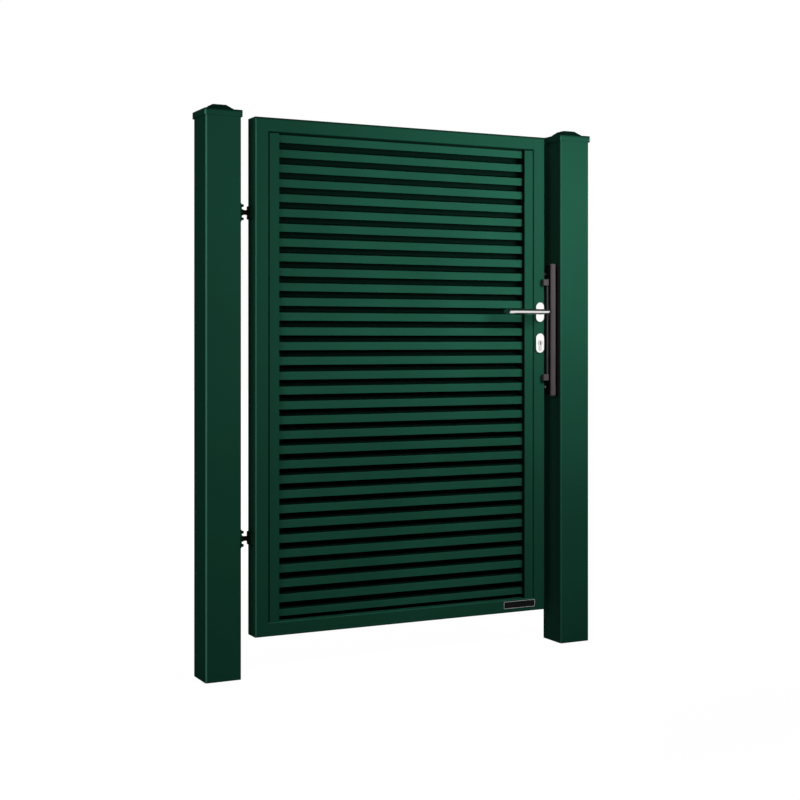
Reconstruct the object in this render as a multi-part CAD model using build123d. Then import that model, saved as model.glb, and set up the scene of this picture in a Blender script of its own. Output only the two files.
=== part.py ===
"""Pedestrian gate: a louvred steel leaf hung between two square posts.

Frame: X runs from the hinge post to the lock post, Y runs to the back, Z is up.
The origin is the centre of the hinge post's foot, at ground level. Millimetres.
"""
from build123d import *
import os

# Posts
POST_WIDTH = 100.0
POST_WALL = 3.0
POST_CORNER = 6.0
POST_HEIGHT = 1512.0
FOOT_PLATE = 5.0

# Post caps: a turned-down rim round a low blunt pyramid
CAP_WALL = 3.0
CAP_CLEARANCE = 0.3
CAP_RIM = 18.0
CAP_CORNER = 5.0
CAP_EDGE = 1.5
PYRAMID_INSET = 14.0
PYRAMID_TOP = 40.0
PYRAMID_HEIGHT = 16.0
PYRAMID_CORNER = 5.0
PYRAMID_SHOULDER = 3.0

# Leaf frame of rectangular tube, mitred at the corners
LEAF_WIDTH = 920.0
LEAF_HEIGHT = 1410.0
GROUND_CLEARANCE = 98.0
HINGE_GAP = 55.0
LOCK_GAP = 31.0
FRAME_DEPTH = 60.0
FRAME_FACE = 38.0
FRAME_WALL = 2.0
FRAME_CORNER = 3.5
MIN_CORNER = 0.5

# Side strips that hold the louvre blades
STRIP_FACE = 28.0
STRIP_WALL = 1.5
STRIP_RECESS = 1.5
GROOVE_WIDTH = 3.0
GROOVE_DEPTH = 6.0
TOP_GROOVE = 4.0

# Louvre blades of folded sheet
BLADE_COUNT = 33
BLADE_LIP = 22.5
BOTTOM_LIP = 19.5
BOTTOM_GAP = 12.0
BLADE_REAR_LIP = 25.0
BLADE_RISE = 5.0
BLADE_SHEET = 1.5
BLADE_BEND = 2.0
BLADE_RECESS = 14.0
STARTER_HEIGHT = 28.0

# Hinges
LOWER_HINGE_INSET = 266.0
UPPER_HINGE_INSET = 258.0
HINGE_AXIS_OUT = 19.0
HINGE_AXIS_BACK = 5.0
PIN_DIAMETER = 10.0
PIN_CLEARANCE = 0.05
PIN_HEAD_DIAMETER = 16.0
PIN_HEAD = 4.0
LUG_RADIUS = 14.0
LUG_THICKNESS = 6.0
BRACKET_PLATE = 4.0
BRACKET_DEPTH = 36.0
BRACKET_HEIGHT = 54.0
PLATE_CORNER = 4.0
EYE_RADIUS = 9.0
EYE_HEIGHT = 30.0
EYE_CLEARANCE = 0.5
STUD_DIAMETER = 13.0
COLLAR_DIAMETER = 17.0
COLLAR_LENGTH = 11.0
COLLAR_TAPER = 4.0
EYE_PLATE = 6.0
EYE_PLATE_DEPTH = 36.0
EYE_PLATE_HEIGHT = 36.0

# Handle set
SPINDLE_HEIGHT = 888.0
LOCK_DISTANCE = 92.0
BACKSET = 20.0
ROSE_WIDTH = 29.0
ROSE_HEIGHT = 59.0
ROSE_THICKNESS = 7.0
ROSE_EDGE = 1.5
NECK_DIAMETER = 18.0
NECK_CLEARANCE = 0.05
NECK_STANDOUT = 6.0
NECK_SEAT = 1.0
SPINDLE_SIDE = 8.0
SPINDLE_HOLE = 14.0
LEVER_DIAMETER = 15.0
LEVER_STANDOFF = 66.0
LEVER_REACH = 146.0
LEVER_RETURN = 26.0
LEVER_BEND = 14.0
CYLINDER_DIAMETER = 17.0
CYLINDER_TAIL_WIDTH = 10.0
CYLINDER_TAIL_DROP = 24.5
CYLINDER_PROUD = 1.5
CYLINDER_CLEARANCE = 0.2
FACEPLATE_WIDTH = 24.0
FACEPLATE_HEIGHT = 240.0
FACEPLATE_THICKNESS = 3.0
LATCH_WIDTH = 12.0
LATCH_HEIGHT = 26.0
LATCH_PROUD = 3.0
LATCH_CLEARANCE = 0.2

# Keep on the lock post
KEEP_BASE_THICKNESS = 5.0
KEEP_BASE_FRONT = 9.0
KEEP_BASE_DEPTH = 86.0
KEEP_BASE_HEIGHT = 386.0
KEEP_BASE_CORNER = 4.0
KEEP_CENTRE_DROP = 7.0
KEEP_SLOT_WIDTH = 16.0
KEEP_SLOT_HEIGHT = 34.0
STOP_BAR_WIDTH = 22.0
STOP_BAR_DEPTH = 22.0
STOP_BAR_HEIGHT = 394.0
STOP_BAR_END = 3.0
STOP_CLEARANCE = 5.0
BUFFER_HEIGHT = 302.0
BUFFER_STRIP_WIDTH = 3.0
BUFFER_STRIP_DEPTH = 8.0
BUFFER_PAD_WIDTH = 18.0
BUFFER_PAD_DEPTH = 12.0
BUFFER_PAD_HEIGHT = 19.0
BUFFER_PAD_EDGE = 1.5

# Places worked out from the sizes above
POST_HALF = POST_WIDTH / 2
LEAF_X0 = POST_HALF + HINGE_GAP
LEAF_X1 = LEAF_X0 + LEAF_WIDTH
LOCK_FACE_X = LEAF_X1 + LOCK_GAP
LOCK_POST_X = LOCK_FACE_X + POST_HALF
LEAF_Z0 = GROUND_CLEARANCE
LEAF_Z1 = LEAF_Z0 + LEAF_HEIGHT
LEAF_Y1 = POST_HALF
LEAF_Y0 = LEAF_Y1 - FRAME_DEPTH
LEAF_MID_X = (LEAF_X0 + LEAF_X1) / 2
LEAF_MID_Y = (LEAF_Y0 + LEAF_Y1) / 2
INFILL_Z0 = LEAF_Z0 + FRAME_FACE
INFILL_Z1 = LEAF_Z1 - FRAME_FACE - TOP_GROOVE
BOTTOM_FOLD_Z = INFILL_Z0 + BOTTOM_GAP + BOTTOM_LIP
BLADE_PITCH = (INFILL_Z1 - BOTTOM_FOLD_Z) / (BLADE_COUNT - 1)
BLADE_X0 = LEAF_X0 + FRAME_FACE + GROOVE_WIDTH + STRIP_FACE
BLADE_X1 = LEAF_X1 - FRAME_FACE - GROOVE_WIDTH - STRIP_FACE
BLADE_Y0 = LEAF_Y0 + STRIP_RECESS + BLADE_RECESS
BLADE_Y1 = LEAF_Y1 - STRIP_RECESS - BLADE_RECESS
HINGE_X = POST_HALF + HINGE_AXIS_OUT
HINGE_Y = LEAF_MID_Y + HINGE_AXIS_BACK
HINGE_HEIGHTS = {"lower": LEAF_Z0 + LOWER_HINGE_INSET, "upper": LEAF_Z1 - UPPER_HINGE_INSET}
SPINDLE_X = LEAF_X1 - BACKSET
SPINDLE_Z = LEAF_Z0 + SPINDLE_HEIGHT
CYLINDER_Z = SPINDLE_Z - LOCK_DISTANCE
LOCK_MID_Z = (SPINDLE_Z + CYLINDER_Z) / 2
KEEP_Z = LOCK_MID_Z - KEEP_CENTRE_DROP
KEEP_FACE_X = LOCK_FACE_X - KEEP_BASE_THICKNESS


def block(x0, x1, y0, y1, z0, z1):
    """A box between two corners."""
    centre = ((x0 + x1) / 2, (y0 + y1) / 2, (z0 + z1) / 2)
    return Pos(*centre) * Box(x1 - x0, y1 - y0, z1 - z0)


def upright(radius, height, x, y, z0):
    """A vertical cylinder standing on z0."""
    return Pos(x, y, z0) * Cylinder(radius, height, align=(Align.CENTER, Align.CENTER, Align.MIN))


def along_x(radius, x0, x1, y, z):
    """A cylinder along X between x0 and x1."""
    return Pos((x0 + x1) / 2, y, z) * Rot(0, 90, 0) * Cylinder(radius, x1 - x0)


def along_y(radius, x, y0, y1, z):
    """A cylinder along Y between y0 and y1."""
    return Pos(x, (y0 + y1) / 2, z) * Rot(90, 0, 0) * Cylinder(radius, y1 - y0)


def mirrored_back(piece):
    """The same piece on the back of the leaf."""
    return mirror(piece, about=Plane.XZ.offset(-LEAF_MID_Y))


def tube_section(width, depth, wall, corner):
    """Section of a rectangular tube with rounded corners."""
    inner_corner = max(corner - wall, MIN_CORNER)
    outer = RectangleRounded(width, depth, corner)
    return outer - RectangleRounded(width - 2 * wall, depth - 2 * wall, inner_corner)


def post(x):
    """A square tube post, closed at its foot by a welded-in plate."""
    section = tube_section(POST_WIDTH, POST_WIDTH, POST_WALL, POST_CORNER)
    foot = RectangleRounded(POST_WIDTH, POST_WIDTH, POST_CORNER)
    return Pos(x, 0, 0) * (extrude(section, POST_HEIGHT) + extrude(foot, FOOT_PLATE))


def pyramid(base, top, z0, z1):
    """A blunt pyramid with softened corners and a rounded shoulder round its flat top."""
    lower = Pos(0, 0, z0) * RectangleRounded(base, base, PYRAMID_CORNER)
    upper = Pos(0, 0, z1) * RectangleRounded(top, top, PYRAMID_CORNER)
    body = loft([lower, upper])
    return fillet(body.faces().sort_by(Axis.Z)[-1].edges(), PYRAMID_SHOULDER)


def post_cap(x):
    """A pressed sheet cap whose rim hangs over the post's top end."""
    inside = POST_WIDTH + 2 * CAP_CLEARANCE
    outside = inside + 2 * CAP_WALL
    base = outside - 2 * PYRAMID_INSET
    rim_top = POST_HEIGHT + CAP_WALL
    peak = rim_top + PYRAMID_HEIGHT
    rim = extrude(RectangleRounded(outside, outside, CAP_CORNER), CAP_RIM)
    rim = fillet(rim.faces().sort_by(Axis.Z)[-1].edges(), CAP_EDGE)
    rim = Pos(0, 0, rim_top - CAP_RIM) * rim
    well = extrude(RectangleRounded(inside, inside, POST_CORNER), CAP_RIM - CAP_WALL)
    well = Pos(0, 0, rim_top - CAP_RIM) * well
    shell = rim + pyramid(base, PYRAMID_TOP, rim_top, peak)
    hollow = pyramid(base - 2 * CAP_WALL, PYRAMID_TOP - 2 * CAP_WALL, POST_HEIGHT, peak - CAP_WALL)
    return Pos(x, 0, 0) * (shell - well - hollow)


def mitre(points):
    """A prism through the leaf's whole depth, over an outline in X and Z."""
    face = Plane.XZ.offset(-LEAF_MID_Y) * Polygon(*points, align=None)
    return extrude(face, amount=FRAME_DEPTH, both=True)


def stile(x0, mitre_points):
    """An upright tube of the leaf frame with mitred ends."""
    section = tube_section(FRAME_FACE, FRAME_DEPTH, FRAME_WALL, FRAME_CORNER)
    tube = Pos(x0 + FRAME_FACE / 2, LEAF_MID_Y, LEAF_Z0) * extrude(section, LEAF_HEIGHT)
    return tube & mitre(mitre_points)


def rail(z0, mitre_points):
    """A level tube of the leaf frame with mitred ends."""
    section = tube_section(FRAME_FACE, FRAME_DEPTH, FRAME_WALL, FRAME_CORNER)
    tube = Rot(0, 90, 0) * extrude(section, LEAF_WIDTH)
    return Pos(LEAF_X0, LEAF_MID_Y, z0 + FRAME_FACE / 2) * tube & mitre(mitre_points)


def frame_members():
    """The four tubes of the leaf frame."""
    outer = [(LEAF_X0, LEAF_Z0), (LEAF_X1, LEAF_Z0), (LEAF_X1, LEAF_Z1), (LEAF_X0, LEAF_Z1)]
    x0, x1 = LEAF_X0 + FRAME_FACE, LEAF_X1 - FRAME_FACE
    z0, z1 = LEAF_Z0 + FRAME_FACE, LEAF_Z1 - FRAME_FACE
    inner = [(x0, z0), (x1, z0), (x1, z1), (x0, z1)]
    return {
        "bottom_rail": rail(LEAF_Z0, [outer[0], outer[1], inner[1], inner[0]]),
        "lock_stile": stile(x1, [outer[1], outer[2], inner[2], inner[1]]),
        "top_rail": rail(z1, [outer[2], outer[3], inner[3], inner[2]]),
        "hinge_stile": stile(LEAF_X0, [outer[3], outer[0], inner[0], inner[3]]),
    }


def side_strip():
    """The hinge-side blade holder: a folded box with a groove beside the stile."""
    x0 = LEAF_X0 + FRAME_FACE
    x1 = x0 + GROOVE_WIDTH
    y0, y1 = LEAF_Y0 + STRIP_RECESS, LEAF_Y1 - STRIP_RECESS
    outline = Polygon(
        (x0, y0 + GROOVE_DEPTH), (x1, y0 + GROOVE_DEPTH), (x1, y0), (BLADE_X0, y0),
        (BLADE_X0, y1), (x1, y1), (x1, y1 - GROOVE_DEPTH), (x0, y1 - GROOVE_DEPTH), align=None,
    )
    hollow = offset(outline, amount=-STRIP_WALL, kind=Kind.INTERSECTION)
    return Pos(0, 0, INFILL_Z0) * extrude(outline - hollow, INFILL_Z1 - INFILL_Z0)


def folded_blade(points):
    """A folded sheet blade along X from its outer face's fold points in Y and Z."""
    path = FilletPolyline(*points, radius=BLADE_BEND + BLADE_SHEET)
    section = make_face(offset(path, amount=BLADE_SHEET, side=Side.RIGHT).edges())
    return Pos(BLADE_X0, 0, 0) * extrude(Plane.YZ * section, BLADE_X1 - BLADE_X0)


def louvre_blade(fold, front_lip):
    """A blade with a hanging front lip, a web that rises to the back and a standing rear lip."""
    foot = (BLADE_Y0, fold - front_lip)
    rear = BLADE_Y1 - BLADE_SHEET
    top = fold + BLADE_RISE
    return folded_blade([foot, (BLADE_Y0, fold), (rear, top), (rear, top + BLADE_REAR_LIP)])


def starter_angle():
    """The angle on the bottom rail that closes the lowest gap from behind."""
    rear = BLADE_Y1 - BLADE_SHEET
    z0 = INFILL_Z0 + BLADE_SHEET
    return folded_blade([(BLADE_Y0, z0), (rear, z0), (rear, z0 + STARTER_HEIGHT)])


def top_blade(fold):
    """The uppermost blade: a front lip whose fold closes the infill under the top rail."""
    return folded_blade([(BLADE_Y0, fold - BLADE_LIP), (BLADE_Y0, fold), (BLADE_Y1, fold)])


def louvre_blades():
    """All blades, from the starter on the bottom rail to the top blade."""
    folds = [BOTTOM_FOLD_Z + i * BLADE_PITCH for i in range(BLADE_COUNT)]
    blades = [starter_angle(), louvre_blade(folds[0], BOTTOM_LIP)]
    blades += [louvre_blade(fold, BLADE_LIP) for fold in folds[1:-1]]
    blades.append(top_blade(folds[-1]))
    return Compound(children=[blade.solid() for blade in blades])


def hinge_bracket(z):
    """A post plate with two lugs that carry the hinge pin."""
    plate_face = POST_HALF + BRACKET_PLATE
    plate = Plane.YZ * RectangleRounded(BRACKET_DEPTH, BRACKET_HEIGHT, PLATE_CORNER)
    bracket = Pos(POST_HALF, HINGE_Y, z) * extrude(plate, BRACKET_PLATE)
    for side in (-1, 1):
        middle = z + side * (EYE_HEIGHT + LUG_THICKNESS) / 2
        z0, z1 = middle - LUG_THICKNESS / 2, middle + LUG_THICKNESS / 2
        arm = block(plate_face, HINGE_X, HINGE_Y - LUG_RADIUS, HINGE_Y + LUG_RADIUS, z0, z1)
        bracket += arm + upright(LUG_RADIUS, LUG_THICKNESS, HINGE_X, HINGE_Y, z0)
    bore = PIN_DIAMETER / 2 + PIN_CLEARANCE
    return bracket - upright(bore, BRACKET_HEIGHT, HINGE_X, HINGE_Y, z - BRACKET_HEIGHT / 2)


def hinge_pin(z):
    """A headed pin through both lugs, riveted below."""
    half = EYE_HEIGHT / 2 + LUG_THICKNESS
    pin = upright(PIN_DIAMETER / 2, 2 * half, HINGE_X, HINGE_Y, z - half)
    for z0 in (z + half, z - half - PIN_HEAD):
        pin += upright(PIN_HEAD_DIAMETER / 2, PIN_HEAD, HINGE_X, HINGE_Y, z0)
    return pin


def hinge_eye(z):
    """The leaf's eye bolt with its collar and fixing plate."""
    height = EYE_HEIGHT - 2 * EYE_CLEARANCE
    collar_end = HINGE_X + COLLAR_LENGTH
    plate_x = LEAF_X0 - EYE_PLATE
    eye = upright(EYE_RADIUS, height, HINGE_X, HINGE_Y, z - height / 2)
    eye += along_x(COLLAR_DIAMETER / 2, HINGE_X, collar_end, HINGE_Y, z)
    taper = Cone(COLLAR_DIAMETER / 2, STUD_DIAMETER / 2, COLLAR_TAPER)
    eye += Pos(collar_end + COLLAR_TAPER / 2, HINGE_Y, z) * Rot(0, 90, 0) * taper
    eye += along_x(STUD_DIAMETER / 2, HINGE_X, plate_x, HINGE_Y, z)
    plate = Plane.YZ * RectangleRounded(EYE_PLATE_DEPTH, EYE_PLATE_HEIGHT, PLATE_CORNER)
    eye += Pos(plate_x, HINGE_Y, z) * extrude(plate, EYE_PLATE)
    bore = PIN_DIAMETER / 2 + PIN_CLEARANCE
    return eye - upright(bore, EYE_HEIGHT, HINGE_X, HINGE_Y, z - EYE_HEIGHT / 2)


def cylinder_profile(clearance):
    """Section of the lock cylinder: a round barrel over a narrow tail, in X and Z."""
    barrel = Circle(CYLINDER_DIAMETER / 2 + clearance)
    width = CYLINDER_TAIL_WIDTH + 2 * clearance
    drop = CYLINDER_TAIL_DROP + clearance
    tail = Pos(0, -drop / 2) * Rectangle(width, drop)
    tip = fillet((barrel + tail).vertices().sort_by(Axis.Y)[:2], width / 2 - MIN_CORNER)
    return tip


def through_leaf(section, z, y0, y1):
    """A section in X and Z at the lock stile, run along Y from y0 to y1."""
    plane = Plane(origin=(SPINDLE_X, y1, z), x_dir=(1, 0, 0), z_dir=(0, -1, 0))
    return extrude(plane * section, y1 - y0)


def drilled_lock_stile(tube):
    """The lock stile with its spindle and cylinder holes."""
    y0, y1 = LEAF_Y0 - FRAME_WALL, LEAF_Y1 + FRAME_WALL
    spindle_hole = along_y(SPINDLE_HOLE / 2, SPINDLE_X, y0, y1, SPINDLE_Z)
    return tube - spindle_hole - through_leaf(cylinder_profile(CYLINDER_CLEARANCE), CYLINDER_Z, y0, y1)


def rose_blank(z):
    """A round-ended plate on the front of the lock stile with a softened edge."""
    outline = SlotOverall(ROSE_HEIGHT, ROSE_WIDTH, rotation=90)
    plate = through_leaf(outline, z, LEAF_Y0 - ROSE_THICKNESS, LEAF_Y0)
    front = plate.faces().sort_by(Axis.Y)[0]
    return fillet(front.edges(), ROSE_EDGE)


def handle_rose():
    """The lever's rose with its bearing bore."""
    bore = NECK_DIAMETER / 2 + NECK_CLEARANCE
    return rose_blank(SPINDLE_Z) - along_y(bore, SPINDLE_X, LEAF_Y0 - ROSE_THICKNESS, LEAF_Y0, SPINDLE_Z)


def cylinder_rose():
    """The lock cylinder's rose with its keyhole-shaped opening."""
    hole = through_leaf(cylinder_profile(CYLINDER_CLEARANCE), CYLINDER_Z, LEAF_Y0 - ROSE_THICKNESS, LEAF_Y0)
    return rose_blank(CYLINDER_Z) - hole


def lock_cylinder():
    """The lock cylinder, seen on both sides of the leaf."""
    reach = ROSE_THICKNESS + CYLINDER_PROUD
    return through_leaf(cylinder_profile(0), CYLINDER_Z, LEAF_Y0 - reach, LEAF_Y1 + reach)


def lever():
    """The front lever: a neck in the rose, a round bar to the hinge side and a return end."""
    neck_back = LEAF_Y0 - NECK_SEAT
    neck_front = LEAF_Y0 - ROSE_THICKNESS - NECK_STANDOUT
    bar_y = LEAF_Y0 - LEVER_STANDOFF
    end_x = SPINDLE_X - LEVER_REACH + LEVER_DIAMETER / 2
    path = FilletPolyline(
        (SPINDLE_X, neck_back, SPINDLE_Z), (SPINDLE_X, bar_y, SPINDLE_Z),
        (end_x, bar_y, SPINDLE_Z), (end_x, bar_y + LEVER_RETURN, SPINDLE_Z), radius=LEVER_BEND,
    )
    bar = sweep(Plane(origin=path @ 0, z_dir=path % 0) * Circle(LEVER_DIAMETER / 2), path=path)
    return along_y(NECK_DIAMETER / 2, SPINDLE_X, neck_front, neck_back, SPINDLE_Z) + bar


def spindle():
    """The square bar that joins both levers."""
    half = SPINDLE_SIDE / 2
    y0, y1 = LEAF_Y0 - NECK_SEAT, LEAF_Y1 + NECK_SEAT
    return block(SPINDLE_X - half, SPINDLE_X + half, y0, y1, SPINDLE_Z - half, SPINDLE_Z + half)


def lock_faceplate():
    """The lock's edge plate on the lock stile with the latch's cut-out."""
    plate = Plane.YZ * RectangleRounded(FACEPLATE_WIDTH, FACEPLATE_HEIGHT, PLATE_CORNER)
    plate = Pos(LEAF_X1, LEAF_MID_Y, LOCK_MID_Z) * extrude(plate, FACEPLATE_THICKNESS)
    return plate - latch(LATCH_CLEARANCE)


def latch(clearance):
    """The latch bolt, drawn back into the lock."""
    half_y = LATCH_WIDTH / 2 + clearance
    half_z = LATCH_HEIGHT / 2 + clearance
    x1 = LEAF_X1 + FACEPLATE_THICKNESS + LATCH_PROUD
    return block(
        LEAF_X1, x1, LEAF_MID_Y - half_y, LEAF_MID_Y + half_y, LOCK_MID_Z - half_z, LOCK_MID_Z + half_z,
    )


def keep_base():
    """The keep's plate on the lock post with a slot for the latch."""
    y0 = -POST_HALF + KEEP_BASE_FRONT
    plate = Plane.YZ * RectangleRounded(KEEP_BASE_DEPTH, KEEP_BASE_HEIGHT, KEEP_BASE_CORNER)
    plate = Pos(KEEP_FACE_X, y0 + KEEP_BASE_DEPTH / 2, KEEP_Z) * extrude(plate, KEEP_BASE_THICKNESS)
    slot = Plane.YZ * SlotOverall(KEEP_SLOT_HEIGHT, KEEP_SLOT_WIDTH, rotation=90)
    return plate - Pos(KEEP_FACE_X, LEAF_MID_Y, LOCK_MID_Z) * extrude(slot, KEEP_BASE_THICKNESS)


def stop_bar():
    """The keep's round-fronted stop bar."""
    radius = STOP_BAR_WIDTH / 2
    x = KEEP_FACE_X - radius
    y1 = LEAF_Y0 - STOP_CLEARANCE
    flat = STOP_BAR_DEPTH - radius
    nose = Pos(x, y1 - flat) * Circle(radius)
    section = nose + Pos(x, y1 - flat / 2) * Rectangle(STOP_BAR_WIDTH, flat)
    bar = Pos(0, 0, KEEP_Z - STOP_BAR_HEIGHT / 2) * extrude(section, STOP_BAR_HEIGHT)
    ends = bar.faces().sort_by(Axis.Z)
    return chamfer(ends[0].edges() + ends[-1].edges(), STOP_BAR_END)


def stop_buffer():
    """The strip on the stop bar whose two pads stand before the closed leaf."""
    x1 = KEEP_FACE_X - STOP_BAR_WIDTH
    y1 = LEAF_Y0 - STOP_CLEARANCE
    z0, z1 = KEEP_Z - BUFFER_HEIGHT / 2, KEEP_Z + BUFFER_HEIGHT / 2
    buffer = block(x1 - BUFFER_STRIP_WIDTH, x1, y1 - BUFFER_STRIP_DEPTH, y1, z0, z1)
    for bottom in (z0, z1 - BUFFER_PAD_HEIGHT):
        top = bottom + BUFFER_PAD_HEIGHT
        pad = block(x1 - BUFFER_PAD_WIDTH, x1, y1 - BUFFER_PAD_DEPTH, y1, bottom, top)
        buffer += chamfer(pad.faces().sort_by(Axis.Y)[0].edges(), BUFFER_PAD_EDGE)
    return buffer


def leaf_parts():
    """Everything fixed on the leaf."""
    parts = frame_members()
    parts["lock_stile"] = drilled_lock_stile(parts["lock_stile"])
    parts["hinge_side_strip"] = side_strip()
    parts["lock_side_strip"] = mirror(side_strip(), about=Plane.YZ.offset(LEAF_MID_X))
    parts["louvre_blades"] = louvre_blades()
    parts["front_handle_rose"] = handle_rose()
    parts["back_handle_rose"] = mirrored_back(handle_rose())
    parts["front_cylinder_rose"] = cylinder_rose()
    parts["back_cylinder_rose"] = mirrored_back(cylinder_rose())
    parts["lock_cylinder"] = lock_cylinder()
    parts["lock_faceplate"] = lock_faceplate()
    parts["latch_bolt"] = latch(0)
    for name, z in HINGE_HEIGHTS.items():
        parts[name + "_hinge_eye"] = hinge_eye(z)
    return parts


def post_parts():
    """Everything fixed on the two posts."""
    parts = {
        "hinge_post": post(0),
        "lock_post": post(LOCK_POST_X),
        "hinge_post_cap": post_cap(0),
        "lock_post_cap": post_cap(LOCK_POST_X),
        "keep_base": keep_base(),
        "keep_stop_bar": stop_bar(),
        "keep_buffer": stop_buffer(),
    }
    for name, z in HINGE_HEIGHTS.items():
        parts[name + "_hinge_bracket"] = hinge_bracket(z)
        parts[name + "_hinge_pin"] = hinge_pin(z)
    return parts


def handle_parts():
    """The two levers and the spindle that turn together."""
    return {
        "front_lever": lever(),
        "back_lever": mirrored_back(lever()),
        "lever_spindle": spindle(),
    }


os.makedirs("parts", exist_ok=True)
for node, shape in {**post_parts(), **leaf_parts(), **handle_parts()}.items():
    export_step(shape, f"parts/{node}.step")
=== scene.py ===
"""Looks of a louvred pedestrian gate that hangs between two square posts.

The file is laid out as an add-on: property groups hold the sizes and colours, each operator makes
or finishes one group of like pieces, and a panel in the sidebar lists the operators. Lengths are in
metres.
"""
import math
from collections import namedtuple

import bmesh
import bpy
from bpy.props import FloatProperty, FloatVectorProperty, PointerProperty
from bpy.types import Operator, Panel, PropertyGroup
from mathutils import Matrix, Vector


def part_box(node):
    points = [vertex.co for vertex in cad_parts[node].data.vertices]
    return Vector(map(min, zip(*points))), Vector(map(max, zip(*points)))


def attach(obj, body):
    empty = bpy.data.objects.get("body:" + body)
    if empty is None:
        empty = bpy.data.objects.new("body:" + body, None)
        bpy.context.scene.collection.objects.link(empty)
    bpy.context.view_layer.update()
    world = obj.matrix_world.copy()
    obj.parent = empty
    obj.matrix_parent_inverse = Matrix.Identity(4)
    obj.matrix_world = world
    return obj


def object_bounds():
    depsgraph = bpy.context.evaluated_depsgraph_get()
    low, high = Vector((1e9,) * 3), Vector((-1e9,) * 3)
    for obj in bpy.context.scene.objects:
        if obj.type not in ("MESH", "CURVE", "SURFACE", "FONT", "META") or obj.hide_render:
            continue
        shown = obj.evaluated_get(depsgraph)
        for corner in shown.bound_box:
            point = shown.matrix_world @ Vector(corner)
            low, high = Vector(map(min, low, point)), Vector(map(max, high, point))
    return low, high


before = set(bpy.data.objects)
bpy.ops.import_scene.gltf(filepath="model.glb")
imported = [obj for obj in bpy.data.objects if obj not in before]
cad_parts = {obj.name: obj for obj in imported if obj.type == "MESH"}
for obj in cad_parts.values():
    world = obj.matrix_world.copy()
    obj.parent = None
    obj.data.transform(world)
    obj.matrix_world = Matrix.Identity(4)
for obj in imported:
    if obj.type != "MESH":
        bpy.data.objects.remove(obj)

bl_info = {
    "name": "Louvred Pedestrian Gate",
    "version": (1, 0, 0),
    "blender": (4, 5, 0),
    "location": "View3D > Sidebar > Gate",
    "description": "Dresses a louvred steel gate leaf, its posts and its hardware",
    "category": "Object",
}

CAD_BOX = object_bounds()
# Where the frame puts the pieces that the added ones sit on
RAIL_LOW, RAIL_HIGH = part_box("bottom_rail")
TOP_RAIL_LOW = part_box("top_rail")[0]
BLADES_LOW, BLADES_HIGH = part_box("louvre_blades")
STILE_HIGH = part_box("lock_stile")[1]
KEEP_LOW, KEEP_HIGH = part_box("keep_base")
STOP_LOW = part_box("keep_stop_bar")[0]
EDGE_PLATE_LOW, EDGE_PLATE_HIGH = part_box("lock_faceplate")
CYLINDER_LOW, CYLINDER_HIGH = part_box("lock_cylinder")
HINGE_EYES = [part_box("lower_hinge_eye"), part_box("upper_hinge_eye")]
HINGE_PINS = [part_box("lower_hinge_pin"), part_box("upper_hinge_pin")]

# Frame nodes by the finish that they share
LEAF_FRAME_NODES = ("hinge_stile", "lock_stile", "top_rail", "bottom_rail")
HINGE_SIDE_NODES = ("hinge_post", "hinge_post_cap")
LOCK_SIDE_NODES = ("lock_post", "lock_post_cap")
STRIP_NODES = ("hinge_side_strip", "lock_side_strip")
BRACKET_NODES = ("lower_hinge_bracket", "upper_hinge_bracket")
EYE_NODES = ("lower_hinge_eye", "upper_hinge_eye")
PIN_NODES = ("lower_hinge_pin", "upper_hinge_pin")
LEVER_NODES = ("front_lever", "back_lever")
ROSE_NODES = ("front_handle_rose", "back_handle_rose", "front_cylinder_rose", "back_cylinder_rose")
STEEL_NODES = ("lock_cylinder", "lock_faceplate", "latch_bolt", "lever_spindle")

# The middle range of a noise, which is drawn out to the full range
NOISE_LOW = 0.3
NOISE_HIGH = 0.7
# How a metal's grain is drawn out along the axes
GRAIN_EVEN = (1.0, 1.0, 1.0)
GRAIN_ALONG_X = (30.0, 1.0, 1.0)
GRAIN_ALONG_Y = (1.0, 12.0, 1.0)
GRAIN_ALONG_Z = (1.0, 1.0, 30.0)
# Edges that turn by more than this are shaded sharp
SHARP_ANGLE = math.radians(32)
# Ways that screw heads and studs face
TO_HINGES = (-1.0, 0.0, 0.0)
TO_LOCK = (1.0, 0.0, 0.0)
# How finely round shapes are divided
CORNER_STEPS = 6
HEAD_SEGMENTS = 24
HEAD_RINGS = 12
SOCKET_SIDES = 6
THREAD_STEPS = 24
RIDGE_SIDES = 4

# Where the lamps hang, what they face and how large they are
Lamp = namedtuple("Lamp", "name place aim width height")
KEY_LAMP = Lamp("key_lamp", (1.15, -0.97, 1.32), (0.66, 0.0, 1.33), 0.57, 0.54)
SIDE_LAMP = Lamp("side_lamp", (-1.15, -1.17, 1.42), (0.61, 0.0, 1.10), 0.8, 1.2)
TOP_LAMP = Lamp("top_lamp", (0.55, 0.02, 3.4), (0.55, 0.02, 0.8), 1.6, 0.3)
BACK_LAMP = Lamp("back_lamp", (0.5, 2.5, 1.6), (0.5, 0.0, 0.8), 2.0, 2.0)
# The level ways to the mirrored boards, with the cosines at which a board starts and is full
Board = namedtuple("Board", "toward start full")
FRONT_BOARD = Board((0.0, -1.0, 0.0), 0.42, 0.64)
BACK_BOARD = Board((0.80, 0.60, 0.0), 0.93, 0.98)
# How far below their top the boards fade in, as a sine
BOARD_FADE = 0.17
# The floor's own white, and how far from the gate's middle its shadow starts to fade and is gone
PALE_FLOOR = (0.95, 0.95, 0.95, 1.0)
SHADOW_NEAR = 0.8
SHADOW_FAR = 2.2
# The rays that meet the background itself, and those that meet it or the boards
STRAIGHT_RAYS = ("Is Camera Ray", "Is Transmission Ray")
SEEN_RAYS = ("Is Camera Ray", "Is Glossy Ray", "Is Transmission Ray")


def colour_property(name, description, default):
    """A colour that a user may change."""
    return FloatVectorProperty(
        name=name, description=description, default=default, subtype="COLOR", min=0.0, max=1.0,
    )


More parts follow.
